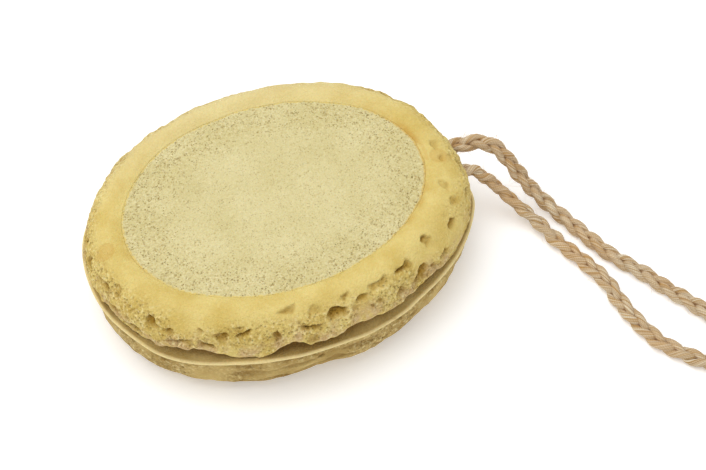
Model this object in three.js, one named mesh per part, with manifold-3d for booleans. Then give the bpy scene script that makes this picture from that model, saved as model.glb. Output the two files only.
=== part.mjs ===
// Oval bath sponge made in imitation of a sea sponge: two moulded foam halves that meet at a parting line,
// a fine-pored scrub pad set flush into the top, and a plaited cord loop whose two ends are held in the joint.
// Millimetres. Origin: centre of the underside, loop left out. +X: the end with the loop. +Z: up.

import * as THREE from "three";
import { mergeVertices } from "three/addons/utils/BufferGeometryUtils.js";
import Module from "manifold-3d";

const wasm = await Module();
wasm.setup();

// ---------------------------------------------------------------- driving dimensions

const HALF_LENGTH = 70; // of the whole sponge, at its lip
const HALF_WIDTH = 56;
const OVAL_POWER = 2.13; // of the superellipse at the lip: 2 is an ellipse, more is squarer
const RIM_TOP = 39.6;
const JOINT_HEIGHT = 24; // the plane where the two halves meet
const LIP_HEIGHT = 21.3; // the lower half's lip, the sponge's widest line
const GAP = 0.3; // between pieces that touch

const PAD_HALF_LENGTH = 54.7;
const PAD_HALF_WIDTH = 39.8;
const PAD_POWER = 2.03;
const PAD_TOP = 38.6;
const PAD_DEPTH = 8;
const PAD_CROWN = 0.5; // how far the pad's middle stands above its edge
const PAD_ROUND = 1.4; // radius of the pad's upper edge

const CHANNEL_INSET = 6; // depth of the groove that runs round the sponge at the joint
const FLAT_INSET = 17; // the underside is flat inside this distance from the lip

const CORD_WIDTH = 6.1;
const CORD_SIDES = 10;
const CORD_STEPS = 64;
const CORD_REST = 3.15; // height of the cord's centre where it lies on the ground
const SOCKET_EXTRA = 1; // how much deeper than the cord each socket in the joint goes

const AROUND = 72; // facets around every oval piece
const RIM_WIDTH = HALF_LENGTH - PAD_HALF_LENGTH;

const FOAM_COLOUR = "#dfc583";
const LOWER_FOAM_COLOUR = "#b89c66";
const PAD_COLOUR = "#dcd09b";
const CORD_COLOUR = "#ccb083";

// ---------------------------------------------------------------- the oval

// A point on the oval that lies `inset` in from the lip. Across the rim the oval turns evenly from the lip's
// shape into the pad's, and inside the pad's edge it shrinks towards the centre.
function ovalPoint(inset, angle) {
  const length = HALF_LENGTH - inset;
  const rimShare = Math.min(inset / RIM_WIDTH, 1);
  const power = THREE.MathUtils.lerp(OVAL_POWER, PAD_POWER, rimShare);
  const rimHalfWidth = THREE.MathUtils.lerp(HALF_WIDTH, PAD_HALF_WIDTH, rimShare);
  const width = inset < RIM_WIDTH ? rimHalfWidth : (PAD_HALF_WIDTH * length) / PAD_HALF_LENGTH;
  const along = Math.cos(angle);
  const across = Math.sin(angle);
  return new THREE.Vector2(
    length * Math.sign(along) * Math.abs(along) ** (2 / power),
    width * Math.sign(across) * Math.abs(across) ** (2 / power),
  );
}

// A profile point: distance in from the lip, and height.
function at(inset, height) {
  return new THREE.Vector2(HALF_LENGTH - inset, height);
}

// Turns a profile about the upright axis, then moves every ring onto its oval.
function ovalLathe(profile, fineness) {
  const geometry = new THREE.LatheGeometry(profile.getPoints(fineness), AROUND);
  geometry.rotateX(Math.PI / 2);
  const position = geometry.attributes.position;
  for (let i = 0; i < position.count; i += 1) {
    const radius = Math.hypot(position.getX(i), position.getY(i));
    const angle = Math.atan2(position.getY(i), position.getX(i));
    const point = ovalPoint(HALF_LENGTH - radius, angle);
    position.setXY(i, point.x, point.y);
  }
  return geometry;
}

// ---------------------------------------------------------------- joining and cutting

function toSolid(geometry) {
  const bare = geometry.clone();
  bare.deleteAttribute("normal");
  bare.deleteAttribute("uv");
  const merged = mergeVertices(bare, 1e-4);
  const index = Array.from(merged.index.array);
  const corners = [];
  for (let i = 0; i < index.length; i += 3) {
    const [a, b, c] = index.slice(i, i + 3);
    if (a !== b && b !== c && c !== a) {
      corners.push(a, b, c);
    }
  }
  const mesh = new wasm.Mesh({
    numProp: 3,
    vertProperties: new Float32Array(merged.attributes.position.array),
    triVerts: new Uint32Array(corners),
  });
  return new wasm.Manifold(mesh);
}

function toGeometry(solid) {
  const mesh = solid.getMesh();
  const geometry = new THREE.BufferGeometry();
  geometry.setAttribute("position", new THREE.BufferAttribute(mesh.vertProperties, 3));
  geometry.setIndex(new THREE.BufferAttribute(mesh.triVerts, 1));
  geometry.computeVertexNormals();
  return geometry;
}

// ---------------------------------------------------------------- the hanging loop

// Out of the joint, over an elbow and down to the ground, round the far bight, and back to the joint.
const LOOP_ROUTE = [
  [59, 4.6, 24],
  [66, 4.6, 24],
  [72.5, 5, 24.2],
  [80.7, 2.7, 25],
  [85.8, -1.1, 23.5],
  [89.5, -5.7, 18.5],
  [92.9, -10.7, 12.5],
  [97, -16, 7],
  [100.9, -22.7, 4.2],
  [103.9, -28.5, CORD_REST],
  [108, -40, CORD_REST],
  [111.8, -48.9, CORD_REST],
  [117.7, -58.5, CORD_REST],
  [122.3, -67.5, CORD_REST],
  [127.5, -76.4, CORD_REST],
  [131, -83.5, CORD_REST],
  [135.2, -89.6, CORD_REST],
  [140.4, -93.8, CORD_REST],
  [146.8, -97, CORD_REST],
  [152.6, -103.6, CORD_REST],
  [153.2, -112.6, CORD_REST],
  [147.8, -120, CORD_REST],
  [138.8, -122.2, CORD_REST],
  [131, -117.8, CORD_REST],
  [126.2, -110, CORD_REST],
  [121.6, -102.4, CORD_REST],
  [115.4, -95.4, CORD_REST],
  [109.5, -87.2, CORD_REST],
  [106.2, -76.8, CORD_REST],
  [104.5, -67, CORD_REST],
  [104.1, -57.5, CORD_REST],
  [100.7, -46.6, CORD_REST],
  [96.3, -35.1, CORD_REST],
  [92.2, -24.4, 4.6],
  [86.2, -15.5, 9],
  [80.8, -9.6, 15],
  [74.5, -6.4, 21.6],
  [70.5, -6, 23.6],
  [66, -6, 24],
  [59, -6, 24],
].map((point) => new THREE.Vector3(...point));

function cordSection(radius) {
  const corners = [];
  for (let i = 0; i < CORD_SIDES; i += 1) {
    const turn = (2 * Math.PI * i) / CORD_SIDES;
    corners.push(new THREE.Vector2(radius * Math.cos(turn), radius * Math.sin(turn)));
  }
  return new THREE.Shape(corners);
}

function cordTube(route, radius) {
  const path = new THREE.CatmullRomCurve3(route, false, "centripetal");
  return new THREE.ExtrudeGeometry(cordSection(radius), { steps: CORD_STEPS, extrudePath: path });
}

function hangingLoop() {
  return toSolid(cordTube(LOOP_ROUTE, CORD_WIDTH / 2));
}

// The space that the cord's two ends need in the foam: the cord itself, a little wider and longer.
function loopSockets() {
  const deeper = new THREE.Vector3(-SOCKET_EXTRA, 0, 0);
  const route = LOOP_ROUTE.map((point) => point.clone());
  route[0].add(deeper);
  route[route.length - 1].add(deeper);
  return toSolid(cordTube(route, CORD_WIDTH / 2 + GAP));
}

// ---------------------------------------------------------------- craters in the moulded rim

// Angle from +X in degrees, inset and height of the mouth's centre, width along the rim, height up the rim.
const CRATERS = [
  [-164, 1.8, 27.5, 12, 7],
  [-165, 4.6, 35.5, 8, 5],
  [-150, 3.2, 33.5, 7, 4],
  [-140, 3, 33, 7, 3],
  [-126, 3.2, 33.5, 8, 5],
  [-115, 4.1, 35, 6, 4],
  [-108, 2.2, 26, 12, 5],
  [-96, 2.7, 32.5, 7, 5],
  [-89, 3.7, 34.5, 9, 5],
  [-80, 4.9, 36, 8, 6],
  [-74, 2.2, 26, 12, 6],
  [-63, 6.5, 37.5, 9, 4],
  [-60, 1.6, 29, 8, 5],
  [-46, 1.8, 27, 14, 6],
  [-38, 3.7, 34.5, 8, 6],
  [-22, 2, 31.5, 9, 6],
  [24, 2.4, 32.5, 10, 6],
  [40, 2, 27, 13, 6],
  [52, 4.4, 35.5, 8, 5],
  [70, 3, 33, 9, 5],
  [84, 2, 27.5, 12, 6],
  [98, 4, 35, 8, 5],
  [114, 2.4, 32, 9, 6],
  [130, 1.9, 27, 14, 6],
  [143, 5, 36.5, 8, 5],
  [158, 2.4, 32.5, 10, 6],
  [176, 1.9, 27, 13, 6],
];
const CRATER_DEPTH = 2.6;
const RIM_CORE_INSET = 14; // craters point away from the line that runs round inside the rim
const RIM_CORE_HEIGHT = 28;

function crater([degrees, inset, height, width, tall]) {
  const angle = THREE.MathUtils.degToRad(degrees);
  const mouthPoint = ovalPoint(inset, angle);
  const corePoint = ovalPoint(RIM_CORE_INSET, angle);
  const mouth = new THREE.Vector3(mouthPoint.x, mouthPoint.y, height);
  const core = new THREE.Vector3(corePoint.x, corePoint.y, RIM_CORE_HEIGHT);
  const outward = mouth.clone().sub(core).normalize();
  const along = new THREE.Vector3(0, 0, 1).cross(outward).normalize();
  const upRim = outward.clone().cross(along);
  const geometry = new THREE.SphereGeometry(1, 8, 6);
  geometry.scale(CRATER_DEPTH, width / 2, tall / 2);
  geometry.applyMatrix4(new THREE.Matrix4().makeBasis(outward, along, upRim).setPosition(mouth));
  return toSolid(geometry);
}

// ---------------------------------------------------------------- the foam halves and the pad

// The upper half: an overhanging skirt above the joint's groove, a rounded rim, and the pad's pocket.
function upperHalf() {
  const base = JOINT_HEIGHT + GAP / 2;
  const pocketFloor = PAD_TOP - PAD_DEPTH - GAP;
  const profile = new THREE.Path();
  profile.moveTo(0, base);
  profile.lineTo(HALF_LENGTH - CHANNEL_INSET, base);
  profile.lineTo(HALF_LENGTH - CHANNEL_INSET + 1, base + 1.8);
  profile.lineTo(HALF_LENGTH - 2.6, base + 0.4);
  profile.splineThru([at(1.6, 27.2), at(1.7, 30.4), at(3.6, 34.6), at(7.4, 38), at(11.6, RIM_TOP), at(15, 38.8)]);
  profile.lineTo(HALF_LENGTH - RIM_WIDTH, pocketFloor);
  profile.lineTo(0, pocketFloor);
  return toSolid(ovalLathe(profile, 1));
}

// The lower half: flat underside, rounded side, thin lip, and the hollow groove that runs up to the joint.
function lowerHalf() {
  const top = JOINT_HEIGHT - GAP / 2;
  const profile = new THREE.Path();
  profile.moveTo(0, 0);
  profile.lineTo(HALF_LENGTH - FLAT_INSET, 0);
  profile.splineThru([at(11, 0.8), at(5.8, 3), at(2.3, 8), at(1, 14), at(0.6, 19.6)]);
  profile.lineTo(HALF_LENGTH, LIP_HEIGHT - 0.3);
  profile.lineTo(HALF_LENGTH - 0.2, LIP_HEIGHT + 0.4);
  profile.splineThru([at(2.6, LIP_HEIGHT + 1.1), at(CHANNEL_INSET, top)]);
  profile.lineTo(0, top);
  return toSolid(ovalLathe(profile, 1));
}

function scrubPad() {
  const floor = PAD_TOP - PAD_DEPTH;
  const edge = PAD_HALF_LENGTH - GAP;
  const profile = new THREE.Path();
  profile.moveTo(0, floor);
  profile.lineTo(edge, floor);
  profile.lineTo(edge, PAD_TOP - PAD_ROUND);
  profile.quadraticCurveTo(edge, PAD_TOP, edge - PAD_ROUND, PAD_TOP);
  profile.quadraticCurveTo(edge / 2, PAD_TOP + PAD_CROWN, 0, PAD_TOP + PAD_CROWN);
  return toSolid(ovalLathe(profile, 3));
}

// ---------------------------------------------------------------- the sponge

function addMesh(group, name, solid, colour, roughness) {
  const material = new THREE.MeshStandardMaterial({ color: colour, roughness, metalness: 0 });
  const mesh = new THREE.Mesh(toGeometry(solid), material);
  mesh.name = name;
  group.add(mesh);
}

const sockets = loopSockets();
let upper = upperHalf().subtract(sockets);
for (const place of CRATERS) {
  upper = upper.subtract(crater(place));
}

const sponge = new THREE.Group();
addMesh(sponge, "upper_foam", upper, FOAM_COLOUR, 0.95);
addMesh(sponge, "lower_foam", lowerHalf().subtract(sockets), LOWER_FOAM_COLOUR, 0.95);
addMesh(sponge, "scrub_pad", scrubPad(), PAD_COLOUR, 0.95);
addMesh(sponge, "hanging_loop", hangingLoop(), CORD_COLOUR, 0.75);

export default sponge;
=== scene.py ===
"""The looks of an oval bath sponge that imitates a sea sponge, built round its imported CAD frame.

Two moulded foam halves meet at a parting line under an overhanging, torn-looking skirt. A fine-pored scrub
pad sits flush in the top, and a plaited cord loop comes out of the joint and lies on the ground.
The sponge's lengths are millimetres, in the frame's own axes, and become metres when a mesh is made. The
camera, the floor and the light are placed in metres.
"""

from itertools import product

import bpy
import numpy as np
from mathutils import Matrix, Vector


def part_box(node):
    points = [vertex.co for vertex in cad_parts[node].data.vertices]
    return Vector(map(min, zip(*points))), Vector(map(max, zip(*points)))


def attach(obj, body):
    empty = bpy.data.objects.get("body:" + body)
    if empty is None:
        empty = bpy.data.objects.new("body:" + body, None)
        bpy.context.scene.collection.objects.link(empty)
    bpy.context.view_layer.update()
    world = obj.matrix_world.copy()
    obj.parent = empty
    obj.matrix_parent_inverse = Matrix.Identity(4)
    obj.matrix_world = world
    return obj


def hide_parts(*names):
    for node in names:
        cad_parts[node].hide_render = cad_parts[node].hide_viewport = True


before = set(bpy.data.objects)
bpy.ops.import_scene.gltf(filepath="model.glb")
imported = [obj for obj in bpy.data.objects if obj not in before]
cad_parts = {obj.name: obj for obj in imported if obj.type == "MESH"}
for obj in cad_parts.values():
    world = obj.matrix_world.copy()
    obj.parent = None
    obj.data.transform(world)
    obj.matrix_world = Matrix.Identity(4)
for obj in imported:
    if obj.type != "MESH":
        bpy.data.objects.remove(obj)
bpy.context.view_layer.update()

MM = 0.001

# ---------------------------------------------------------------- sizes taken from the frame


def half_size(node):
    low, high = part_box(node)
    return (high - low) / 2 / MM


HALF_LENGTH, HALF_WIDTH, _ = half_size("lower_foam")
PAD_HALF_LENGTH, PAD_HALF_WIDTH, _ = half_size("scrub_pad")
JOINT_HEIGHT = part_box("lower_foam")[1].z / MM
RIM_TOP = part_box("upper_foam")[1].z / MM
RIM_WIDTH = HALF_LENGTH - PAD_HALF_LENGTH
PAD_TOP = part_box("scrub_pad")[1].z / MM - 0.5  # at the pad's edge
PAD_CROWN = 0.45  # how much higher its middle is

# ---------------------------------------------------------------- camera

CAMERA_TARGET = Vector((0.0230, -0.0143, 0.0200))
CAMERA_BACK = Vector((-0.22336, -0.52830, 0.81915))  # from the target towards the camera
CAMERA_DISTANCE = 0.569
CAMERA_LENS = 81.6


def add_camera():
    data = bpy.data.cameras.new("camera")
    data.lens = CAMERA_LENS
    data.sensor_width = 36
    data.clip_start = 0.01
    camera = bpy.data.objects.new("camera", data)
    camera.location = CAMERA_TARGET + CAMERA_BACK * CAMERA_DISTANCE
    camera.rotation_mode = "QUATERNION"
    camera.rotation_quaternion = CAMERA_BACK.to_track_quat("Z", "Y")
    bpy.context.scene.collection.objects.link(camera)
    bpy.context.scene.camera = camera


# ---------------------------------------------------------------- random fields


def hashed(cell, seed):
    """A random number in 0..1 for each whole-number cell of an (..., 3) array, the same on every run."""
    mixed = cell.astype(np.uint32) * np.array([73856093, 19349663, 83492791], np.uint32)
    mixed = mixed[..., 0] ^ mixed[..., 1] ^ mixed[..., 2] ^ np.uint32(seed * 40503 + 17)
    for shift, factor in ((16, 0x85EBCA6B), (13, 0xC2B2AE35)):
        mixed ^= mixed >> np.uint32(shift)
        mixed *= np.uint32(factor)
    mixed ^= mixed >> np.uint32(16)
    return mixed / 2.0**32


def smooth(x):
    """0 below 0 and 1 above 1, with an S-shaped rise between."""
    x = np.clip(x, 0, 1)
    return x * x * (3 - 2 * x)


def noise(points, size, seed):
    """A smooth field in -1..1 whose features are about `size` across."""
    scaled = points / size
    cell = np.floor(scaled).astype(np.int64)
    share = smooth(scaled - cell)
    total = 0
    for corner in product((0, 1), repeat=3):
        weight = np.prod(np.where(corner, share, 1 - share), axis=-1)
        total = total + weight * hashed(cell + corner, seed)
    return 2 * total - 1


def scatter(points, size, seed):
    """How far off the nearest of a scatter of spots is, one spot to a cell, and that spot's number."""
    scaled = points / size
    cell = np.floor(scaled).astype(np.int64)
    best = np.full(points.shape[:-1], 9.0)
    own = np.zeros(points.shape[:-1])
    for step in product((-1, 0, 1), repeat=3):
        near = cell + step
        spot = near + np.stack([hashed(near, seed + k) for k in range(3)], axis=-1)
        away = np.linalg.norm(spot - scaled, axis=-1)
        closer = away < best
        best = np.where(closer, away, best)
        own = np.where(closer, hashed(near, seed + 3), own)
    return best * size, own


def warped(points, size, reach, seed):
    """The same points, each moved by up to `reach`, so that what is drawn round them comes out ragged."""
    return points + reach * np.stack([noise(points, size, seed + k) for k in range(3)], axis=-1)


def pits(points, size, radius, seed, chance):
    """How deep each point lies in a scatter of round pits, 0 outside and 1 at the bottom.

    chance is the share of the scatter's cells that hold a pit. The pits are 0.55 to 1.45 times `radius`.
    """
    away, own = scatter(points, size, seed)
    number = (own * 9999).astype(np.int64)[..., None].repeat(3, -1)
    reach = radius * (0.55 + 0.9 * hashed(number, seed))
    return np.where(own < chance, smooth(1.25 * (1 - away / reach)), 0)


def by_angle(turn, knots):
    """A number that changes smoothly round the sponge, from knots of (degrees from +X, number)."""
    angles, numbers = zip(*knots)
    spread = np.radians(np.arange(-2, 3))
    readings = [np.interp(np.degrees(turn + step), angles, numbers, period=360) for step in spread]
    return np.mean(readings, axis=0)


# ---------------------------------------------------------------- meshes


def unit(vectors):
    return vectors / np.maximum(np.linalg.norm(vectors, axis=-1, keepdims=True), 1e-9)


def new_piece(name, points, faces, values, material, slot, *nodes):
    """Makes a smooth mesh from points in mm and arrays of faces, in place of the CAD nodes that are named.

    values holds a number or a vector for each point, under the names by which the materials read them.
    """
    mesh = bpy.data.meshes.new(name)
    corners = np.concatenate([f.ravel() for f in faces]).astype(np.int32)
    counts = np.concatenate([np.full(len(f), f.shape[1]) for f in faces])
    mesh.vertices.add(len(points))
    mesh.vertices.foreach_set("co", (points * MM).astype(np.float32).ravel())
    mesh.loops.add(len(corners))
    mesh.polygons.add(len(counts))
    mesh.polygons.foreach_set("loop_start", (np.cumsum(counts) - counts).astype(np.int32))
    mesh.polygons.foreach_set("vertices", corners)
    mesh.update(calc_edges=True)
    mesh.shade_smooth()
    for key, value in values.items():
        kind, field = ("FLOAT_VECTOR", "vector") if np.ndim(value) == 2 else ("FLOAT", "value")
        layer = mesh.attributes.new(key, kind, "POINT")
        layer.data.foreach_set(field, np.asarray(value, np.float32).ravel())
    mesh.materials.append(material)
    piece = bpy.data.objects.new(name, mesh)
    bpy.context.scene.collection.objects.link(piece)
    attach(piece, "root")
    if nodes:
        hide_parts(*nodes)
    return piece


def band_faces(rings, around, first):
    """Quads between closed rings of `around` points each, numbered from `first`."""
    ring = first + np.arange(rings - 1)[:, None] * around
    here = np.arange(around)[None, :]
    following = (here + 1) % around
    quads = [ring + here, ring + following, ring + around + following, ring + around + here]
    return np.stack(quads, axis=-1).reshape(-1, 4)


def closed_faces(rings, around, first=0, flip=False):
    """The faces of a body made of closed rings, with a cap on its first and on its last ring.

    They face out when the rings go round anticlockwise, seen from the last one. flip turns them over.
    """
    start = first + np.arange(around)[None, :]
    end = start + (rings - 1) * around
    faces = [band_faces(rings, around, first), start[:, ::-1], end]
    return [f[:, ::-1] for f in faces] if flip else faces


def normals_of(grid):
    """Outward normals of a grid of points (rings, around, 3) whose rings close on themselves."""
    wrapped = np.concatenate([grid[:, -1:], grid, grid[:, :1]], axis=1)
    along = np.gradient(wrapped, axis=1)[:, 1:-1]
    down = np.gradient(grid, axis=0)
    return unit(np.cross(down, along))


def catmull_rom(points, steps):
    """A smooth line through points (n, ..., k), with steps[i] rows in span i and the last point added."""
    padded = np.concatenate([2 * points[:1] - points[1:2], points, 2 * points[-1:] - points[-2:-1]])
    rows = []
    for i, count in enumerate(steps):
        a, b, c, d = padded[i : i + 4]
        square = 2 * a - 5 * b + 4 * c - d
        cube = 3 * b - a - 3 * c + d
        for t in np.arange(count) / count:
            rows.append(0.5 * (2 * b + (c - a) * t + square * t**2 + cube * t**3))
    rows.append(points[-1])
    return np.array(rows)


# ---------------------------------------------------------------- materials


def srgb(red, green, blue):
    """A colour given as 0..255 screen values, as the linear colour a shader takes."""
    value = np.array([red, green, blue]) / 255
    linear = np.where(value <= 0.04045, value / 12.92, ((value + 0.055) / 1.055) ** 2.4)
    return (*linear, 1)


RIM_COLOURS = {
    "pale": srgb(228, 207, 131),
    "deep": srgb(214, 188, 106),
    # painted shade in craters, pits and pores, and under the skirt
    "hollow_shade": srgb(154, 114, 22),
    "skin_and_lip_highlight": srgb(212, 184, 134),
}
# The lower half's foam, darker than the rim's: painted shade of its downward-facing side.
LOWER_SHADED_COLOURS = {
    "pale": srgb(202, 176, 112),
    "deep": srgb(176, 148, 86),
    # painted shade in folds, pits and pores, and on the ledge under the skirt
    "hollow_shade": srgb(120, 82, 26),
    # the lip's pale line: a painted highlight on its thin ridge
    "skin_and_lip_highlight": srgb(242, 222, 162),
}
# Painted light: the foam's colour towards +Y, the far side, paler as if lit from behind.
FOAM_BACK_LIGHT = srgb(236, 226, 184)
FOAM_CRUMB = srgb(246, 231, 172)
FOAM_STAIN = srgb(196, 148, 62)

PAD_DEEP = srgb(213, 201, 147)
PAD_PALE = srgb(222, 211, 160)
PAD_GRAIN = srgb(186, 166, 100)
# painted shade in the pores
PAD_PORE_SHADE = srgb(160, 128, 58)
PAD_CRUMB = srgb(240, 229, 182)
PAD_HOLLOW_SHADE = srgb(150, 112, 40)
PAD_FRINGE = srgb(224, 201, 124)
PAD_STAIN = srgb(204, 160, 78)

CORD_DEEP = srgb(198, 158, 96)
CORD_PALE = srgb(252, 242, 212)
CORD_WARM = srgb(226, 174, 104)
CORD_STREAK = srgb(200, 148, 78)
# painted shade in the cord's creases
CORD_CREASE_SHADE = srgb(140, 86, 28)

FLOOR_DEEP = srgb(250, 250, 249)
FLOOR_PALE = srgb(253, 253, 253)
FLOOR_GLOW = 0.22


class Shader:
    """A material whose nodes are added one call at a time. Each call gives the new node's output."""

    def __init__(self, name):
        self.material = bpy.data.materials.new(name)
        self.material.use_nodes = True
        self.tree = self.material.node_tree
        self.surface = self.tree.nodes["Principled BSDF"]
        place = self.tree.nodes.new("ShaderNodeTexCoord")
        self.place = place.outputs["Object"]

    def plug(self, socket, value):
        if isinstance(value, bpy.types.NodeSocket):
            self.tree.links.new(value, socket)
        else:
            socket.default_value = value

    def attribute(self, name, output="Fac"):
        node = self.tree.nodes.new("ShaderNodeAttribute")
        node.attribute_name = name
        return node.outputs[output]

    def coordinate(self, axis):
        node = self.tree.nodes.new("ShaderNodeSeparateXYZ")
        self.plug(node.inputs["Vector"], self.place)
        return node.outputs[axis]

    def stretched(self, vector, scale):
        node = self.tree.nodes.new("ShaderNodeMapping")
        self.plug(node.inputs["Vector"], vector)
        node.inputs["Scale"].default_value = scale
        return node.outputs["Vector"]

    def noise(self, size, detail, vector=None):
        """Fractal noise with features about `size` mm across, 0..1 and mostly near 0.5."""
        node = self.tree.nodes.new("ShaderNodeTexNoise")
        self.plug(node.inputs["Vector"], vector or self.place)
        node.inputs["Scale"].default_value = 1 / (size * MM)
        node.inputs["Detail"].default_value = detail
        return node.outputs["Fac"]

    def spots(self, size):
        """Distance to the nearest of a scatter of spots about `size` mm apart, in sizes."""
        node = self.tree.nodes.new("ShaderNodeTexVoronoi")
        self.plug(node.inputs["Vector"], self.place)
        node.inputs["Scale"].default_value = 1 / (size * MM)
        return node.outputs["Distance"]

    def between(self, value, low, high, start=0.0, end=1.0):
        """value from low to high becomes start to end, held at the ends."""
        node = self.tree.nodes.new("ShaderNodeMapRange")
        self.plug(node.inputs["Value"], value)
        for name, number in (("From Min", low), ("From Max", high), ("To Min", start), ("To Max", end)):
            node.inputs[name].default_value = number
        return node.outputs["Result"]

    def math(self, operation, a, b):
        node = self.tree.nodes.new("ShaderNodeMath")
        node.operation = operation
        self.plug(node.inputs[0], a)
        self.plug(node.inputs[1], b)
        return node.outputs["Value"]

    def times(self, a, b):
        return self.math("MULTIPLY", a, b)

    def mix(self, share, a, b):
        """Colour a where the share is 0, and b where it is 1."""
        node = self.tree.nodes.new("ShaderNodeMix")
        node.data_type = "RGBA"
        self.plug(node.inputs[0], share)
        self.plug(node.inputs[6], a)
        self.plug(node.inputs[7], b)
        return node.outputs[2]

    def bump(self, height, distance):
        """Relief of `distance` mm between heights 0 and 1."""
        node = self.tree.nodes.new("ShaderNodeBump")
        node.inputs["Strength"].default_value = 1.0
        node.inputs["Distance"].default_value = distance * MM
        self.plug(node.inputs["Height"], height)
        return node.outputs["Normal"]

    def finish(self, colour, normal, **settings):
        self.plug(self.surface.inputs["Base Color"], colour)
        self.plug(self.surface.inputs["Normal"], normal)
        for name, value in settings.items():
            self.surface.inputs[name.replace("_", " ")].default_value = value
        return self.material


def foam_material(name, bare, pale, deep, hollow_shade, skin_and_lip_highlight):
    """Moulded foam: mottled, with painted light that makes it paler towards +Y, the far side, painted
    shade in its hollows and pores, and granular where it is rough.

    Its skin, which on the lower half is a painted highlight along the lip, is worn through in spots, in
    more of them the higher `bare` is.
    """
    s = Shader(name)
    colour = s.mix(s.between(s.noise(10, 3), 0.34, 0.66), deep, pale)
    # painted light: paler towards +Y, the far side
    back_light = s.between(s.coordinate("Y"), 15 * MM, 60 * MM, 0.0, 0.55)
    colour = s.mix(back_light, colour, FOAM_BACK_LIGHT)
    kept = s.between(s.noise(6, 2), bare, bare + 0.18)
    # pale skin patches, and on the lower half a painted highlight along the lip
    colour = s.mix(s.times(s.attribute("skin_and_lip_highlight"), kept), colour, skin_and_lip_highlight)
    rough = s.attribute("rough")
    grain = s.between(s.noise(0.85, 2), 0.36, 0.66)
    colour = s.mix(s.times(grain, s.between(rough, 0, 1, 0.1, 0.42)), colour, hollow_shade)
    crumb = s.between(s.noise(1.3, 1), 0.54, 0.7)
    colour = s.mix(s.times(crumb, s.between(rough, 0, 1, 0.08, 0.5)), colour, FOAM_CRUMB)
    # painted shade in the pores of the rough patches
    pore = s.times(s.between(s.spots(1.25), 0.14, 0.34, 1.0, 0.0), rough)
    colour = s.mix(s.times(pore, 0.35), colour, hollow_shade)
    # painted shade in the craters, folds and pits and under the skirt, from the attribute each half fills
    colour = s.mix(s.attribute("hollow_shade"), colour, hollow_shade)
    colour = s.mix(s.attribute("stain"), colour, FOAM_STAIN)
    torn = s.times(s.noise(1.5, 2), s.between(rough, 0, 1, 0.2, 1.5))
    height = s.math("SUBTRACT", s.math("ADD", s.noise(0.6, 2), torn), pore)
    return s.finish(
        colour,
        s.bump(height, 0.4),
        Roughness=0.92,
        Subsurface_Weight=0.12,
        Subsurface_Radius=(1.0, 0.6, 0.25),
        Subsurface_Scale=0.002,
        Specular_IOR_Level=0.2,
    )


def pad_material():
    """Open-pored scrub foam: pale straw, with painted shade making each pore a dark fleck, more of them
    towards the pad's edge.
    """
    s = Shader("pad_foam")
    colour = s.mix(s.between(s.noise(18, 2), 0.35, 0.65), PAD_DEEP, PAD_PALE)
    edge = s.attribute("edge")
    grain = s.between(s.noise(0.7, 2), 0.32, 0.6, 1.0, 0.0)
    colour = s.mix(s.times(grain, s.between(edge, 0, 1, 0.22, 0.4)), colour, PAD_GRAIN)
    # painted shade: each pore a dark fleck
    pore = s.between(s.spots(0.8), 0.12, 0.38, 1.0, 0.0)
    shown = s.times(pore, s.between(s.noise(2.6, 1), 0.38, 0.56))
    shown = s.times(shown, s.between(edge, 0, 1, 0.4, 0.75))
    colour = s.mix(shown, colour, PAD_PORE_SHADE)
    crumb = s.between(s.noise(0.95, 1), 0.55, 0.7)
    colour = s.mix(s.times(crumb, s.between(edge, 0, 1, 0.25, 0.4)), colour, PAD_CRUMB)
    # painted shade in the deeper pores
    colour = s.mix(s.attribute("hollow_shade"), colour, PAD_HOLLOW_SHADE)
    fringe = s.between(s.math("ADD", s.attribute("fringe"), s.noise(1.6, 2)), 1.22, 1.5)
    colour = s.mix(fringe, colour, PAD_FRINGE)
    colour = s.mix(s.attribute("stain"), colour, PAD_STAIN)
    height = s.math("SUBTRACT", s.noise(0.6, 1), shown)
    return s.finish(
        colour,
        s.bump(height, 0.3),
        Roughness=0.95,
        Subsurface_Weight=0.1,
        Subsurface_Radius=(1.0, 0.7, 0.35),
        Subsurface_Scale=0.0015,
        Specular_IOR_Level=0.15,
    )


def cord_material():
    """Soft tan fibre: streaks that run along each strand, paler on the crests, and painted shade that
    darkens it brown in the creases.
    """
    s = Shader("cord")
    lay = s.attribute("lay", "Vector")
    streak = s.between(s.noise(1000, 3, s.stretched(lay, (5.0, 0.3, 5.0))), 0.4, 0.6)
    fine = s.between(s.noise(1000, 1, s.stretched(lay, (15.0, 0.7, 15.0))), 0.35, 0.65)
    colour = s.mix(streak, CORD_DEEP, CORD_PALE)
    colour = s.mix(s.times(s.between(s.noise(26, 1), 0.42, 0.62), 0.3), colour, CORD_WARM)
    colour = s.mix(s.times(fine, 0.22), colour, CORD_STREAK)
    # painted shade in the creases
    colour = s.mix(s.attribute("crease_shade"), colour, CORD_CREASE_SHADE)
    height = s.math("ADD", streak, s.times(fine, 0.8))
    return s.finish(
        colour,
        s.bump(height, 0.07),
        Roughness=0.45,
        Sheen_Weight=0.08,
        Sheen_Roughness=0.4,
        Specular_IOR_Level=0.35,
    )


def floor_material():
    """White ground with a faint glow of its own, which keeps the sponge's shadow weak."""
    s = Shader("floor")
    colour = s.mix(s.noise(400, 1), FLOOR_DEEP, FLOOR_PALE)
    s.surface.inputs["Emission Color"].default_value = (1, 1, 1, 1)
    return s.finish(colour, s.bump(s.noise(30, 1), 0.01), Roughness=0.9, Emission_Strength=FLOOR_GLOW)


# ---------------------------------------------------------------- the hanging loop

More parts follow.
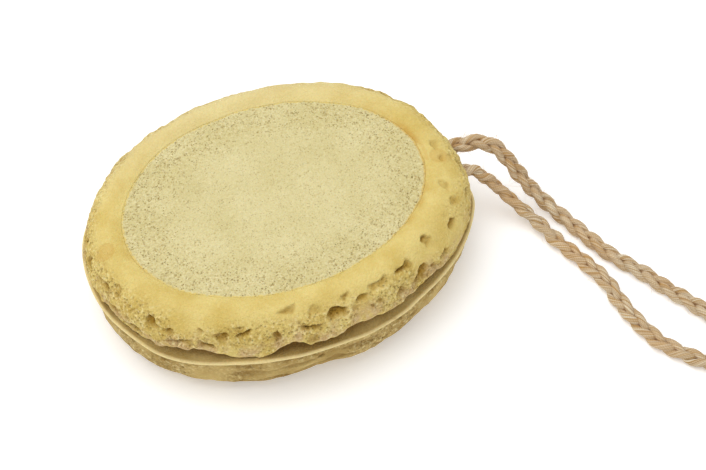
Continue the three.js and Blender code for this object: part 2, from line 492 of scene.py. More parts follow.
CORD_REST = 2.4  # height of the plait's middle where it lies flat
GROUND_GAP = 0.02
STRAND_RADIUS = 1.42
STRAND_WANDER = 0.16
STRAND_SIDES = 32
STRAND_STEP = 0.55
STRAND_YARNS = 8  # ridges round each strand
PLAIT_SPREAD = 1.58  # how far a strand swings to each side
PLAIT_LIFT = 0.85  # and over and under the others
PLAIT_PITCH = 23  # length in which a strand comes back to the same side
PLAIT_TWIST = 13  # length in which a strand's fibres go once round it
CREASE_SHADE_REACH = 1.95  # from the plait's middle: painted shade darkens the strands nearer than that

FUZZ_FIBRES = 460
FUZZ_NEAR_SHARE = 0.6  # of the loose fibres stand on the first stretch, where the plait is frayed
FUZZ_NEAR = (11, 66)  # where that stretch begins and ends, along the cord
FUZZ_MARGIN = 12  # length without the other fibres at each end of the cord
FUZZ_RADIUS = 0.06
FUZZ_POINTS = 7
FUZZ_SIDES = 3

# Out of the joint, over an elbow and down to the ground, round the far bight, and back to the joint.
LOOP_ROUTE = [
    (59, 4.6, 24),
    (66, 4.6, 24),
    (72.5, 5, 24.2),
    (80.7, 2.7, 25),
    (85.8, -1.1, 23.5),
    (89.5, -5.7, 18.5),
    (92.9, -10.7, 12.5),
    (97, -16, 7),
    (100.9, -22.7, 3.8),
    (103.9, -28.5, CORD_REST),
    (108, -40, CORD_REST),
    (111.8, -48.9, CORD_REST),
    (117.7, -58.5, CORD_REST),
    (122.3, -67.5, CORD_REST),
    (127.5, -76.4, CORD_REST),
    (131, -83.5, CORD_REST),
    (135.2, -89.6, CORD_REST),
    (140.4, -93.8, CORD_REST),
    (146.8, -97, CORD_REST),
    (152.6, -103.6, CORD_REST),
    (153.2, -112.6, CORD_REST),
    (147.8, -120, CORD_REST),
    (138.8, -122.2, CORD_REST),
    (131, -117.8, CORD_REST),
    (126.2, -110, CORD_REST),
    (121.6, -102.4, CORD_REST),
    (115.4, -95.4, CORD_REST),
    (109.5, -87.2, CORD_REST),
    (106.2, -76.8, CORD_REST),
    (104.5, -67, CORD_REST),
    (104.1, -57.5, CORD_REST),
    (100.7, -46.6, CORD_REST),
    (96.3, -35.1, CORD_REST),
    (92.2, -24.4, 4.2),
    (86.2, -15.5, 9),
    (80.8, -9.6, 15),
    (74.5, -6.4, 21.6),
    (70.5, -6, 23.6),
    (66, -6, 24),
    (59, -6, 24),
]

# How far the flat plait is rolled over about its own line, in degrees, at shares of its length.
ROLL = [
    (0, 20), (0.08, 30), (0.16, -10), (0.35, 0), (0.65, 0), (0.75, -35), (0.85, 30), (0.93, 55), (1, 40),
]


def loop_line():
    """The loop's middle line, in points a step apart, and the distance along it of each."""
    route = np.array(LOOP_ROUTE, float)
    line = catmull_rom(route, [12] * (len(route) - 1))
    along = np.concatenate([[0], np.cumsum(np.linalg.norm(np.diff(line, axis=0), axis=1))])
    at = np.linspace(0, along[-1], int(along[-1] / STRAND_STEP) + 1)
    return np.stack([np.interp(at, along, line[:, k]) for k in range(3)], axis=1), at


def cross_axes(line, lean):
    """Unit axes to the side of a line and over it, leaning `lean` degrees about the line."""
    tangent = unit(np.gradient(line, axis=0))
    side = unit(np.cross((0, 0, 1), tangent))
    over = np.cross(tangent, side)
    angle = np.radians(lean)[:, None]
    return side * np.cos(angle) + over * np.sin(angle), over * np.cos(angle) - side * np.sin(angle)


def strand_lines(line, at):
    """The middle lines of the plait's three strands."""
    side, over = cross_axes(line, np.interp(at / at[-1], *zip(*ROLL)))
    for k in range(3):
        phase = 2 * np.pi * (at / PLAIT_PITCH + k / 3)
        wander = STRAND_WANDER * noise(np.stack([at, at * 0 + 50 * k, at * 0], axis=1), 9, 5)
        swing = PLAIT_SPREAD * np.sin(phase) + wander
        lift = PLAIT_LIFT * np.sin(2 * phase)
        yield line + side * swing[:, None] + over * lift[:, None]


def strand_surface(middle, at, k):
    """Rings of points round strand k, how deep between its yarns each lies, and where along its fibres."""
    side, over = cross_axes(middle, 0 * at)
    turn = 2 * np.pi * np.arange(STRAND_SIDES) / STRAND_SIDES
    wound = turn[None, :] + 2 * np.pi * at[:, None] / PLAIT_TWIST
    place = at[:, None] / 6 + 40.0 * k + 0 * wound
    field = np.stack([np.cos(wound) * 2, np.sin(wound) * 2, place], axis=-1)
    ridge = 0.5 + 0.5 * np.cos(STRAND_YARNS * wound + 2.2 * noise(field, 1.5, 8))
    radius = STRAND_RADIUS * (0.92 + 0.16 * ridge + 0.07 * noise(field, 1.1, 9))
    points = (
        middle[:, None]
        + side[:, None] * (radius * np.cos(turn))[..., None]
        + over[:, None] * (radius * np.sin(turn))[..., None]
    )
    lay = np.stack([np.cos(wound), at[:, None] / 8 + 3.7 * k + 0 * wound, np.sin(wound)], axis=-1)
    return points, 1 - ridge, lay


def plait(line, at):
    """The points and faces of the three strands, and what the material reads at each point."""
    points, faces, crease_shades, lays = [], [], [], []
    for k, middle in enumerate(strand_lines(line, at)):
        rings, furrow, lay = strand_surface(middle, at, k)
        # painted shade where the strands press together near the plait's middle, and between the yarns
        inside = smooth((CREASE_SHADE_REACH - np.linalg.norm(rings - line[:, None], axis=-1)) / 0.9)
        faces += closed_faces(len(at), STRAND_SIDES, k * furrow.size)
        points.append(rings.reshape(-1, 3))
        crease_shades.append(np.maximum(0.85 * inside, 0.5 * furrow**2).ravel())
        lays.append(lay.reshape(-1, 3))
    points = np.concatenate(points)
    points[:, 2] = np.maximum(points[:, 2], GROUND_GAP)
    return points, faces, {"crease_shade": np.concatenate(crease_shades), "lay": np.concatenate(lays)}


def fuzz_paths(line, at):
    """The middle lines of the loose fibres, (fibres, points, 3)."""
    random = np.random.default_rng(11)
    near = random.uniform(*FUZZ_NEAR, int(FUZZ_FIBRES * FUZZ_NEAR_SHARE))
    elsewhere = random.uniform(FUZZ_MARGIN, at[-1] - FUZZ_MARGIN, FUZZ_FIBRES - len(near))
    row = (np.concatenate([near, elsewhere]) / STRAND_STEP).astype(int)
    tangent = unit(np.gradient(line, axis=0))[row]
    side = unit(np.cross((0, 0, 1), tangent))
    turn = random.uniform(0, 2 * np.pi, (FUZZ_FIBRES, 1))
    outward = side * np.cos(turn) + np.cross(tangent, side) * np.sin(turn)
    length = random.uniform(1.5, 5.5, (FUZZ_FIBRES, 1, 1))
    lean = random.uniform(0.3, 1.2, (FUZZ_FIBRES, 1)) * random.choice([-1, 1], (FUZZ_FIBRES, 1))
    curl = random.normal(0, 0.4, (FUZZ_FIBRES, 3))
    share = np.linspace(0, 1, FUZZ_POINTS)[None, :, None]
    leave = (outward * 0.5 + tangent * lean)[:, None]
    paths = (line[row] + outward * 1.9)[:, None] + length * (leave * share + curl[:, None] * share**2)
    paths[..., 2] = np.maximum(paths[..., 2], 2 * FUZZ_RADIUS)
    return paths


def cord_fuzz(material, line, at):
    """Loose fibres that stand off the plait, each a thin three-sided tube."""
    paths = fuzz_paths(line, at)
    tangent = unit(np.gradient(paths, axis=1))
    side = unit(np.cross(tangent, (0.3, 0.2, 1.0)))
    over = np.cross(side, tangent)
    turn = 2 * np.pi * np.arange(FUZZ_SIDES) / FUZZ_SIDES
    taper = FUZZ_RADIUS * np.linspace(1, 0.35, FUZZ_POINTS)[None, :, None, None]
    rings = paths[:, :, None] + taper * (
        side[:, :, None] * np.cos(turn)[:, None] + over[:, :, None] * np.sin(turn)[:, None]
    )
    faces = []
    for fibre in range(FUZZ_FIBRES):
        faces += closed_faces(FUZZ_POINTS, FUZZ_SIDES, fibre * FUZZ_POINTS * FUZZ_SIDES, flip=True)
    points = rings.reshape(-1, 3)
    # a little painted crease shade on each loose fibre
    values = {"crease_shade": np.full(len(points), 0.15), "lay": points / 4}
    return new_piece("hanging_loop_fuzz", points, faces, values, material, "cord")


def hanging_loop(material):
    line, at = loop_line()
    points, faces, values = plait(line, at)
    piece = new_piece("hanging_loop_plait", points, faces, values, material, "cord", "hanging_loop")
    fuzz = cord_fuzz(material, line, at)


# ---------------------------------------------------------------- the oval, the pad's outline and the lip

AROUND = 900
TURN = 2 * np.pi * np.arange(AROUND) / AROUND
OVAL_POWER = 2.13  # of the superellipse at the lip: 2 is an ellipse, more is squarer
PAD_POWER = 2.03
LIP_HEIGHT = 21.9
CHANNEL_INSET = 6  # about how far in from the lip the two halves meet

# The sponge isn't a true oval: angle from +X in degrees, and how far its side stands out, in mm.
SIDE_WAVES = [
    (-40, 0.2), (-28, 0.9), (-18, 1.9), (-8, 0.7), (0, 0), (15, -0.9), (50, -0.6), (90, -0.3),
    (129, -0.9), (150, -0.8), (163, 0), (180, 0), (230, 0), (270, 0), (288, -0.6), (298, -1.0),
    (310, -0.5), (320, 0),
]
# Nor is the pad's outline, given in the same way.
PAD_WAVES = [
    (-165, 0.8), (-135, 0.6), (-100, 0.1), (-52, -0.8), (-15, 0), (25, -0.7), (70, -0.2), (114, 0.9),
    (150, 0.3),
]
# How far the thin lip wanders up and down: angle from +X in degrees, and mm. The cord's two ends, near 5
# degrees either side of +X, press it down.
LIP_WAVES = [
    (-170, 0.6), (-162, 1.3), (-156, 1.2), (-150, 0.3), (-145, -1.2), (-140, -1.6), (-134, -0.9),
    (-129, -0.4), (-123, 0.8), (-117, 1.3), (-103, 1.2), (-98, 0.8), (-90, 0.9), (-86, 0.2),
    (-82, -0.8), (-75, -0.9), (-68, -1.4), (-62, 0.2), (-50, 0.4), (-35, 0), (-14, 0.1), (-10, -1.6),
    (-3, -1.7), (0, -0.9), (2, -1.4), (8, -1.4), (12, 0.1), (40, -0.5), (80, 0.4), (120, -0.6),
    (160, 0.5),
]
# Where the glue line round the pad shows: angle from +X in degrees, and share.
GLUE = [
    (-175, 0.2), (-168, 0.5), (-160, 0.2), (-150, 0), (-60, 0), (-45, 0.5), (-20, 0.6), (-8, 1),
    (12, 1), (22, 0.3), (40, 0), (170, 0),
]


def oval(inset, turn):
    """The point of the sponge's oval that lies `inset` in from the lip, at the angle `turn` in radians."""
    inset, turn = np.broadcast_arrays(inset, turn)
    length = HALF_LENGTH - inset
    share = np.clip(inset / RIM_WIDTH, 0, 1)
    power = OVAL_POWER + (PAD_POWER - OVAL_POWER) * share
    rim_half_width = HALF_WIDTH + (PAD_HALF_WIDTH - HALF_WIDTH) * share
    width = np.where(inset < RIM_WIDTH, rim_half_width, PAD_HALF_WIDTH * length / PAD_HALF_LENGTH)
    along, across = np.cos(turn), np.sin(turn)
    x = length * np.sign(along) * np.abs(along) ** (2 / power)
    y = width * np.sign(across) * np.abs(across) ** (2 / power)
    return np.stack([x, y], axis=-1)


def rim_inset(grid):
    """Roughly how far in from the lip each point lies."""
    x, y = grid[..., 0] / HALF_LENGTH, grid[..., 1] / HALF_WIDTH
    out = (np.abs(x) ** OVAL_POWER + np.abs(y) ** OVAL_POWER) ** (1 / OVAL_POWER)
    return (1 - out) * (HALF_LENGTH + HALF_WIDTH) / 2


def to_grid(profile):
    """Points (rings, around, 3) from the inset and height of a profile at every angle."""
    flat = oval(profile[..., 0], TURN[None, :])
    reach = 1 - smooth((profile[..., 0] - 5) / 8)
    flat = flat + unit(flat) * (by_angle(TURN, SIDE_WAVES)[None, :] * reach)[..., None]
    return np.concatenate([flat, profile[..., 1:]], axis=-1)


def ring_points(radius, turn=TURN):
    """Points on a circle, for reading noise round the sponge."""
    return np.stack([np.cos(turn) * radius, np.sin(turn) * radius, 0 * turn], axis=-1)


def pad_outline(turn):
    """How far the pad's edge wanders from its oval, in mm outwards."""
    ring = ring_points(30, turn)
    return by_angle(turn, PAD_WAVES) + 0.25 * noise(ring, 9, 31) + 0.2 * noise(ring, 2.5, 32)


def lip_height():
    """The height of the lower half's lip at every angle."""
    return LIP_HEIGHT + by_angle(TURN, LIP_WAVES) + 0.12 * noise(ring_points(60), 3.5, 52)


def foam_half(name, grid, fields, material, slot, node):
    """Makes one foam half from its grid, whose rings run from its top side down to its underside."""
    faces = closed_faces(len(grid), AROUND, flip=True)
    values = {key: field.ravel() for key, field in fields.items()}
    piece = new_piece(name, grid.reshape(-1, 3), faces, values, material, slot, node)


# ---------------------------------------------------------------- upper half

SHOULDER_HEIGHT = RIM_TOP - 4.2  # where the rim's wall turns over into its top
SKIRT_HEIGHT = 23.3  # the skirt's lower edge where it isn't torn
SKIRT_GAP = 0.75  # least distance from the lip up to that edge
# How far the torn edge rises above SKIRT_HEIGHT: angle from +X in degrees, and mm.
TEARS = [
    (-176, 0.6), (-171, 0.8), (-167, 4.4), (-163, 4.2), (-160, 1.0), (-151, 0.5), (-144, 1.0),
    (-140, 2.4), (-132, 4.6), (-126, 4.5), (-121, 2.6), (-117, 0.5), (-112, 0.0), (-109, 0.4),
    (-107.4, 2.8), (-104, 5.4), (-99.5, 6.9), (-98, 4.3), (-96, 2.7), (-91.5, 4.0), (-89.5, 3.1),
    (-87.5, 4.4), (-85.5, 6.4), (-82, 4.8), (-76, 3.8), (-73.5, 2.0), (-71.5, 0.6), (-68.5, 0.4),
    (-66.5, 3.2), (-64.5, 3.6), (-63.2, 0.8), (-62.2, 1.0), (-60.5, 4.4), (-57, 4.4), (-53, 2.8),
    (-48, 1.2), (-42, 0.4), (-36, 0.2), (-30, 1.6), (-24, 0.4), (-15, 0.6), (-9, 3.2), (0, 3.9),
    (8, 3.2), (13, 0.6), (20, 1.2), (25, 3.6), (31, 0.4), (36, 2.2), (41, 4.8), (47, 3.0), (53, 0.2),
    (59, 3.2), (62, 5.6), (68, 4.0), (73, 0.6), (80, 1.6), (84, 3.4), (92, 0.2), (97, 2.2), (101, 4.8),
    (107, 0.6), (118, 2.2), (123, 4.0), (126, 5.2), (133, 3.6), (139, 0.3), (144, 2.4), (149, 3.8),
    (157, 0.6), (162, 1.6), (166, 3.4), (174, 0.6),
]

# Craters in the rim: angle from +X in degrees, height, width, height of the mouth and depth, in mm.
CRATERS = [
    (-170, 32.6, 8, 5, 1.6),
    (-165, 36.1, 6, 4, 0.9),
    (-164, 28, 9, 5, 3),
    (-155, 27, 12, 2.6, 1.8),
    (-146, 34, 4, 4.4, 2),
    (-141, 33.5, 7, 2.2, 1.5),
    (-138, 29.8, 12, 2.4, 1.8),
    (-130, 34.8, 4, 2.6, 1.5),
    (-127, 30, 8, 3, 1.6),
    (-123, 33.5, 6, 2.8, 1.9),
    (-117, 37, 5, 3, 0.9),
    (-115, 34.9, 7, 4, 2.6),
    (-106, 32.6, 4, 6, 2),
    (-102, 38.6, 6, 3.6, 1.4),
    (-96, 33.1, 8, 3.4, 2.2),
    (-94, 37.5, 6, 4, 0.9),
    (-89, 34.7, 8, 4.8, 3.4),
    (-85.5, 38, 5, 2.4, 1.2),
    (-80, 36.1, 9, 3.2, 2),
    (-79, 32.3, 4, 2.4, 1.3),
    (-73.5, 37.3, 8, 4.2, 1.5),
    (-68, 30.9, 7, 6, 2.6),
    (-63, 37.3, 9, 3.2, 1.9),
    (-60, 30.5, 10, 7, 2.8),
    (-50, 37.5, 5, 8, 1.9),
    (-48, 31.7, 8, 4, 1.6),
    (-38, 34.6, 7, 5.4, 2.8),
    (-30, 37, 5, 4, 1.2),
    (-22, 32.6, 8, 5, 2),
    (-11, 34.8, 6, 3.6, 1.5),
    (-24, 39.2, 5, 6, 0.9),
    (-9, 39.2, 4, 5, 0.8),
    (-2, 39, 5, 3, 0.9),
]
CRATER_LIFT = 0.55  # share of a crater's depth by which it also runs upwards, under its own roof
BACK_CRATERS = 26

DISCS = [(180, 7.9), (-8, 10.3)]  # shallow round marks at the rim's two ends: angle in degrees and inset
DISC_RADIUS = 3.7
DISC_DEPTH = 0.25

UPPER_STEPS = [3, 3, 4, 7, 8, 8, 10, 9, 9, 9, 7, 5, 5, 5, 5, 7]
OUTER_ROWS = slice(sum(UPPER_STEPS[:4]), sum(UPPER_STEPS[:12]))  # from the rim's top to the skirt's edge


def back_craters():
    """Craters of the same kind on the rim's far half, where none is listed."""
    random = np.random.default_rng(4)
    made = []
    for k in range(BACK_CRATERS):
        turn = 8 + 182 * (k + random.uniform(0.1, 0.9)) / BACK_CRATERS
        height = random.uniform(27, 36.5)
        width = random.uniform(4, 10)
        made.append((turn, height, width, width * random.uniform(0.4, 0.75), random.uniform(1.0, 2.6)))
    return made


def skirt_edge():
    """The height of the skirt's lower edge at every angle. It stays clear of the lip."""
    ring = ring_points(60)
    torn = by_angle(TURN, TEARS)
    edge = SKIRT_HEIGHT + torn + (0.25 + 0.12 * torn) * noise(ring, 4, 21) + 0.2 * noise(ring, 1.8, 22)
    return np.maximum(edge, lip_height() + SKIRT_GAP)


def wall_inset(height):
    """How far in from the lip the rim's outer wall stands at a height."""
    return np.interp(height, [24, 27, 30, 32.5, SHOULDER_HEIGHT], [1.75, 1.6, 1.9, 2.8, 4.5])


def upper_profile(edge):
    """Inset and height of the upper half's outline at every angle, from the pad's pocket out and under."""
    flat = np.ones_like(edge)
    shape = [
        (RIM_WIDTH + 0.1, 31 * flat),
        (RIM_WIDTH + 0.04, (PAD_TOP - 1) * flat),
        (RIM_WIDTH - 0.04, (PAD_TOP + 0.02) * flat),
        (RIM_WIDTH - 1.0, (PAD_TOP + 0.32) * flat),
        (12, (RIM_TOP - 0.15) * flat),
        (9.3, (RIM_TOP - 0.55) * flat),
        (6.8, (RIM_TOP - 2.0) * flat),
        (4.5, SHOULDER_HEIGHT * flat),
    ]
    lowest = edge + 1.4
    for share in (0.7, 0.42, 0.18):
        height = lowest + share * (SHOULDER_HEIGHT - lowest)
        shape.append((wall_inset(height), height))
    shape += [
        (wall_inset(lowest) - 0.3, lowest),
        (wall_inset(edge), edge + 0.4),
        (2.8, edge),
        (3.8, edge + 0.5),
        (5.4, 0.5 * (edge + JOINT_HEIGHT) + 0.6),
        (CHANNEL_INSET + 0.3, (JOINT_HEIGHT - 0.4) * flat),
    ]
    return np.array([np.stack([inset * flat, height], axis=-1) for inset, height in shape])


def disc(grid, turn, inset):
    """One round moulding mark: 1 inside it and 0 outside."""
    centre = oval(inset, np.radians(turn))
    away = np.linalg.norm(grid[..., :2] - centre, axis=-1)
    return smooth((DISC_RADIUS - away) / 0.7) * (grid[..., 2] > 30)


def disc_marks(grid):
    """The round moulding marks on top of the rim."""
    return sum(disc(grid, *place) for place in DISCS) * smooth((grid[..., 2] - 30) / 3)


def dig(grid, ragged, normal, turn, height, width, tall, depth):
    """How far one crater pushes each point in. Its roof is steep and its floor runs out gently."""
    column = int(round((turn % 360) / 360 * AROUND)) % AROUND
    row = OUTER_ROWS.start + int(np.argmin(np.abs(grid[OUTER_ROWS, column, 2] - height)))
    along = unit(grid[row, (column + 3) % AROUND] - grid[row, column - 3])
    upward = np.cross(normal[row, column], along)
    upward = upward * np.sign(upward[2] + 1e-9)
    offset = ragged - grid[row, column]
    across = offset @ along / (width / 2)
    up = offset @ upward / (tall / 2)
    through = offset @ normal[row, column] / max(width, 4)
    reach = np.sqrt(across**2 + up**2 + through**2)
    return depth * smooth((1.05 - reach) / (0.72 - 0.34 * np.tanh(1.5 * up)))


def crater_depth(grid, ragged, normal):
    """How far all the craters together push each point in, in mm."""
    hole = np.zeros(grid.shape[:2])
    for crater in [*CRATERS, *back_craters()]:
        hole = np.maximum(hole, dig(grid, ragged, normal, *crater))
    return 0.95 * hole * (1 + 0.4 * noise(grid, 1.5, 49))


def rim_lumps(grid, wall, patch):
    """How far the rim's lumps stand out at each point, in mm, with the finest in its granular patches."""
    lumps = 0.45 * noise(grid, 24, 1) * (0.3 + 0.7 * wall)
    lumps = lumps + 0.6 * noise(grid, 10, 2) * (0.4 + 0.6 * wall)
    lumps = lumps + 0.38 * noise(grid, 4.5, 3) * (0.3 + 0.7 * wall)
    lumps = lumps + 0.38 * noise(grid, 2.2, 4) * patch
    lumps = lumps + 0.2 * noise(grid, 1.1, 5) * patch
    return lumps + 0.06 * noise(grid, 2, 8)


def roughen_upper(grid, normal):
    """Lumps, craters and pores: the moved grid, how much painted shade darkens each point in its hollows,
    and how granular.
    """
    wall = smooth((RIM_TOP - 0.2 - grid[..., 2]) / 4)
    inner = smooth((RIM_WIDTH - 1.2 - rim_inset(grid)) / 3)
    outside = smooth((OUTER_ROWS.stop - np.arange(len(grid))) / 6.0)[:, None]
    patch = smooth((noise(grid, 12, 6) + 0.85) / 0.8) * wall * inner
    push = rim_lumps(grid, wall, patch) * inner
    patch = patch * outside
    ragged = warped(warped(grid, 4.5, 1.6, 41), 1.7, 0.75, 45)
    hole = crater_depth(grid, ragged, normal) * outside
    medium = 0.9 * pits(ragged, 5.2, 1.9, 7, 0.5) * patch
    small = 0.5 * pits(ragged, 2.6, 1.0, 11, 0.55) * patch
    tiny = 0.18 * pits(grid, 1.35, 0.6, 15, 0.6) * patch
    depth = hole + medium + small + tiny + DISC_DEPTH * disc_marks(grid)
    moved = grid + normal * (push - depth)[..., None]
    moved[..., 2] += CRATER_LIFT * hole * wall
    # painted shade in the craters and pits, by their depth
    return moved, np.clip(0.42 * hole + 0.5 * medium + 0.45 * small + 0.5 * tiny, 0, 0.85), patch


def glue_line(grid, profile):
    """How much glue shows at each point of the rim, close round the pad."""
    glue = smooth(1 - (RIM_WIDTH - 0.3 - profile[..., 0]) / 2.2) * by_angle(TURN, GLUE)[None, :]
    return glue * smooth(noise(grid, 3, 34) + 0.7)


def upper_half(material):
    edge = skirt_edge()
    profile = catmull_rom(upper_profile(edge), UPPER_STEPS)
    grid = to_grid(profile)
    near_pad = smooth((profile[..., 0] - RIM_WIDTH + 6) / 6)
    grid[..., :2] += unit(grid[..., :2]) * (pad_outline(TURN) * near_pad)[..., None]
    grid, hollow_shade, rough = roughen_upper(grid, normals_of(grid))
    row = np.arange(len(grid))[:, None]
    # painted shade on the underside, under the skirt's edge
    under = smooth((row - OUTER_ROWS.stop + 2) / 9.0)
    fields = {
        "hollow_shade": np.maximum(hollow_shade, 0.75 * under),
        "skin_and_lip_highlight": smooth(1 - np.abs(grid[..., 2] - edge[None, :] - 2) / 7) * (row > OUTER_ROWS.start),
        "rough": rough,
        "stain": 0.3 * disc_marks(grid) + 0.6 * glue_line(grid, profile),
    }
    foam_half("upper_foam_half", grid, fields, material, "rim_foam", "upper_foam")


# ---------------------------------------------------------------- lower half

# Inset from the lip and height, in mm: from the joint over the ledge and the lip to the flat underside.
LOWER_SHAPE = [
    (CHANNEL_INSET + 0.3, JOINT_HEIGHT),
    (5.0, JOINT_HEIGHT - 0.4),
    (3.6, JOINT_HEIGHT - 0.9),
    (2.0, LIP_HEIGHT + 0.55),
    (0.9, LIP_HEIGHT + 0.4),
    (0.35, LIP_HEIGHT + 0.25),
    (0.0, LIP_HEIGHT - 0.1),
    (0.3, LIP_HEIGHT - 0.8),
    (0.95, LIP_HEIGHT - 1.6),
    (1.1, 17),
    (1.1, 13),
    (1.7, 8.5),
    (3.0, 5.4),
    (5.2, 2.8),
    (8.4, 1.0),
    (12, 0.2),
    (16, 0),
    (30, 0),
    (48, 0),
]
LOWER_STEPS = [3, 5, 5, 4, 3, 3, 3, 3, 7, 9, 12, 10, 11, 9, 7, 5, 5, 4]
LEDGE_ROWS = sum(LOWER_STEPS[:6])  # from the joint to the lip's edge
SLACK_SIDE = (-98, 9)  # where the lower side is drawn in: angle and half width in degrees


def ledge_shade(profile):
    """How much painted shade darkens the ledge where it runs back under the skirt."""
    return 0.6 * smooth((profile[..., 0] - 1.6) / 3.2) * (profile[..., 1] > LIP_HEIGHT)


def slack():
    """How far the lower side is drawn in at every angle: 1 in the middle of its slack stretch."""
    centre, half_width = SLACK_SIDE
    away = (np.degrees(TURN) - centre + 180) % 360 - 180
    return smooth(1 - np.abs(away) / (2 * half_width))


def roughen_lower(grid, lip):
    """Lumps, folds and pits: the moved grid, how much painted shade darkens each point in its hollows, and
    how granular.
    """
    side = smooth((lip - 0.9 - grid[..., 2]) / 2.2)
    side[:LEDGE_ROWS] = 0
    standing = smooth(grid[..., 2] / 1.5)
    push = 0.45 * noise(grid, 18, 61) + 0.4 * noise(grid, 6, 62) + 0.18 * noise(grid, 2.2, 63)
    push = push * side * standing - (0.3 + 1.2 * slack()[None, :]) * standing * side
    level = warped(grid, 4, 1.2, 55) * (0.7, 0.7, 1.5)
    patch = smooth((noise(grid, 11, 64) + 0.45) / 0.7) * side
    folds = 0.7 * smooth(2.6 * noise(level * (0.4, 0.4, 1), 3.0, 58) - 0.7) * side * standing
    large = 1.6 * pits(level, 6.5, 2.5, 65, 0.45) * side * standing
    small = 0.7 * pits(level, 2.6, 1.0, 69, 0.55) * patch
    tiny = 0.32 * pits(grid, 1.4, 0.6, 73, 0.6) * (0.3 * side + 0.7 * patch)
    moved = grid + normals_of(grid) * (push - folds - large - small - tiny)[..., None]
    moved[..., 2] = np.maximum(moved[..., 2], 0)
    return moved, np.clip(0.45 * folds + 0.4 * large + 0.6 * small + 0.7 * tiny, 0, 0.8), patch


def lower_half(material):
    lip = lip_height()[None, :]
    shape = catmull_rom(np.array(LOWER_SHAPE, float), LOWER_STEPS)
    profile = np.repeat(shape[:, None], AROUND, axis=1)
    shade = ledge_shade(profile)
    near_lip = smooth(1 - np.abs(profile[..., 1] - LIP_HEIGHT) / 6)
    near_lip = near_lip * (1 - smooth((profile[..., 0] - 1) / 4.5))
    profile[..., 1] += near_lip * (lip - LIP_HEIGHT)
    grid, hollow_shade, rough = roughen_lower(to_grid(profile), lip)
    # painted highlight along the lip's thin ridge
    at_edge = smooth((1.15 - profile[..., 0]) / 0.6)
    fields = {
        # painted shade in the folds and pits, and on the ledge under the skirt
        "hollow_shade": np.maximum(hollow_shade, shade),
        "skin_and_lip_highlight": smooth(1 - np.abs(grid[..., 2] - lip)) * at_edge,
        "rough": rough,
        "stain": 0 * hollow_shade,
    }
    foam_half("lower_foam_half", grid, fields, material, "lower_foam", "lower_foam")


# ---------------------------------------------------------------- scrub pad

PAD_CELLS = 296
PAD_EASE = 0.1  # how far inside its CAD outline the pad's face ends
PAD_SIDE = [(0.06, -0.1), (0.06, -1.2), (0.0, -3.5), (-0.1, -7.5)]  # out from the face, and down


def pad_grid():
    """A square grid laid over the pad's face, and each point's share of the way out from the middle."""
    square = np.linspace(-1, 1, PAD_CELLS + 1)
    u, v = np.meshgrid(square, square, indexing="ij")
    x, y = u * np.sqrt(1 - v * v / 2), v * np.sqrt(1 - u * u / 2)
    out = np.sqrt(x * x + y * y)
    turn = np.arctan2(y, x)
    across, along = np.abs(np.sin(turn)), np.abs(np.cos(turn))
    power = (along**PAD_POWER + across**PAD_POWER) ** (-1 / PAD_POWER)
    x = x * (PAD_HALF_LENGTH - PAD_EASE) * power
    y = y * (PAD_HALF_WIDTH - PAD_EASE) * power
    face = np.stack([x, y, 0 * x], axis=-1)
    face[..., :2] += unit(face[..., :2]) * (pad_outline(turn) * out**6)[..., None]
    return face, out


def pad_relief(face, out, edge):
    """The height of the pad's open-pored face at each point, and how much painted shade darkens its pores
    there.
    """
    crown = PAD_TOP + PAD_CROWN * (1 - out**2)
    sway = 0.12 * noise(face, 14, 81)
    pored = scatter(face, 1.15, 87)[1] < 0.1 + 0.38 * edge
    large = 0.42 * pits(face, 1.15, 0.4, 83, 1.0) * pored
    fine = 0.26 * pits(face, 0.8, 0.34, 91, 0.7) * (0.3 + 0.7 * edge)
    grain = 0.07 * noise(face, 0.9, 95) + 0.04 * noise(face, 2.2, 96)
    # painted shade in the pores, by their depth
    hollow_shade = np.clip(1.2 * large * (0.35 + 0.65 * edge) + 0.8 * fine, 0, 0.7)
    return crown + sway + grain - large - fine, hollow_shade


def pad_rim(index):
    """The points of the pad's outline, in order round it, anticlockwise."""
    return np.concatenate([index[:-1, 0], index[-1, :-1], index[:0:-1, -1], index[0, :0:-1]])


def pad_sides(outline):
    """The rings of points below the pad's outline, from its face down to its floor."""
    outward = unit(outline * (1, 1, 0))
    rings = []
    for reach, drop in PAD_SIDE:
        ring = outline + outward * reach
        ring[:, 2] = PAD_TOP + drop
        rings.append(ring)
    return rings


def pad_faces(index, rim):
    """The faces of the pad's top, of the band round it, of its side and of its floor."""
    here = np.arange(len(rim))
    following = np.roll(here, -1)
    first = index.size
    corners = [index[:-1, :-1], index[1:, :-1], index[1:, 1:], index[:-1, 1:]]
    top = np.stack(corners, axis=-1).reshape(-1, 4)
    band = np.stack([rim, first + here, first + following, rim[following]], axis=-1)
    side = band_faces(len(PAD_SIDE), len(rim), first)[:, ::-1]
    floor = first + (len(PAD_SIDE) - 1) * len(rim) + here[None, ::-1]
    return [top, band, side, floor]


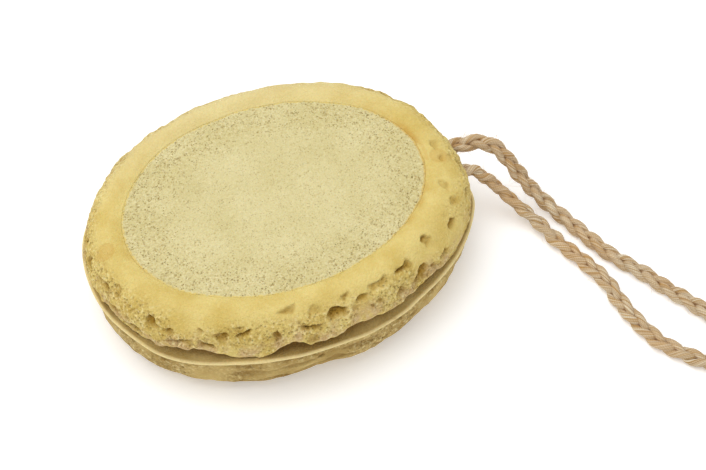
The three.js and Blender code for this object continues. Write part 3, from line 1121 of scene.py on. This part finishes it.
def scrub_pad(material):
    face, out = pad_grid()
    edge = smooth((out - 0.5) / 0.42)
    face[..., 2], hollow_shade = pad_relief(face, out, edge)
    index = np.arange(out.size).reshape(out.shape)
    rim = pad_rim(index)
    top = face.reshape(-1, 3)
    points = np.concatenate([top, *pad_sides(top[rim])])
    turn = np.arctan2(points[:, 1], points[:, 0])
    out = out.ravel()
    sides = np.ones(len(points) - len(top))
    near_edge = np.concatenate([smooth((out - 0.98) / 0.02), sides])
    values = {
        "hollow_shade": np.concatenate([hollow_shade.ravel(), 0 * sides]),
        "edge": np.concatenate([edge.ravel(), sides]),
        "fringe": np.concatenate([smooth((out - 0.962) / 0.038), sides]),
        "stain": 0.6 * near_edge * by_angle(turn, GLUE),
    }
    faces = pad_faces(index, rim)
    piece = new_piece("scrub_pad_face", points, faces, values, material, "pad_foam", "scrub_pad")


# ---------------------------------------------------------------- floor and light

FLOOR_REACH = 4.0
LIGHT_TARGET = Vector((0.02, -0.02, 0.02))
KEY_DIRECTION = (-0.22, 0.15, 1.0)
KEY_DISTANCE = 1.3
KEY_SIZE = 1.3
KEY_POWER = 10.0
WORLD_STRENGTH = 0.64


def add_floor(material):
    mesh = bpy.data.meshes.new("floor")
    corners = [(x * FLOOR_REACH, y * FLOOR_REACH, 0) for x, y in ((-1, -1), (1, -1), (1, 1), (-1, 1))]
    mesh.from_pydata(corners, [], [(0, 1, 2, 3)])
    mesh.materials.append(material)
    floor = bpy.data.objects.new("floor", mesh)
    bpy.context.scene.collection.objects.link(floor)


def add_key_light():
    data = bpy.data.lights.new("key", "AREA")
    data.shape = "DISK"
    data.size = KEY_SIZE
    data.energy = KEY_POWER
    light = bpy.data.objects.new("key", data)
    towards = Vector(KEY_DIRECTION).normalized()
    light.location = LIGHT_TARGET + towards * KEY_DISTANCE
    light.rotation_mode = "QUATERNION"
    light.rotation_quaternion = towards.to_track_quat("Z", "Y")
    bpy.context.scene.collection.objects.link(light)


def add_world():
    world = bpy.data.worlds.new("world")
    world.use_nodes = True
    background = world.node_tree.nodes["Background"]
    background.inputs["Color"].default_value = (1, 1, 1, 1)
    background.inputs["Strength"].default_value = WORLD_STRENGTH
    bpy.context.scene.world = world


# ---------------------------------------------------------------- build

bpy.context.scene.view_settings.view_transform = "Standard"
add_camera()
hanging_loop(cord_material())
upper_half(foam_material("rim_foam", 0.42, **RIM_COLOURS))
lower_half(foam_material("lower_foam", 0.2, **LOWER_SHADED_COLOURS))
scrub_pad(pad_material())
add_floor(floor_material())
add_key_light()
add_world()
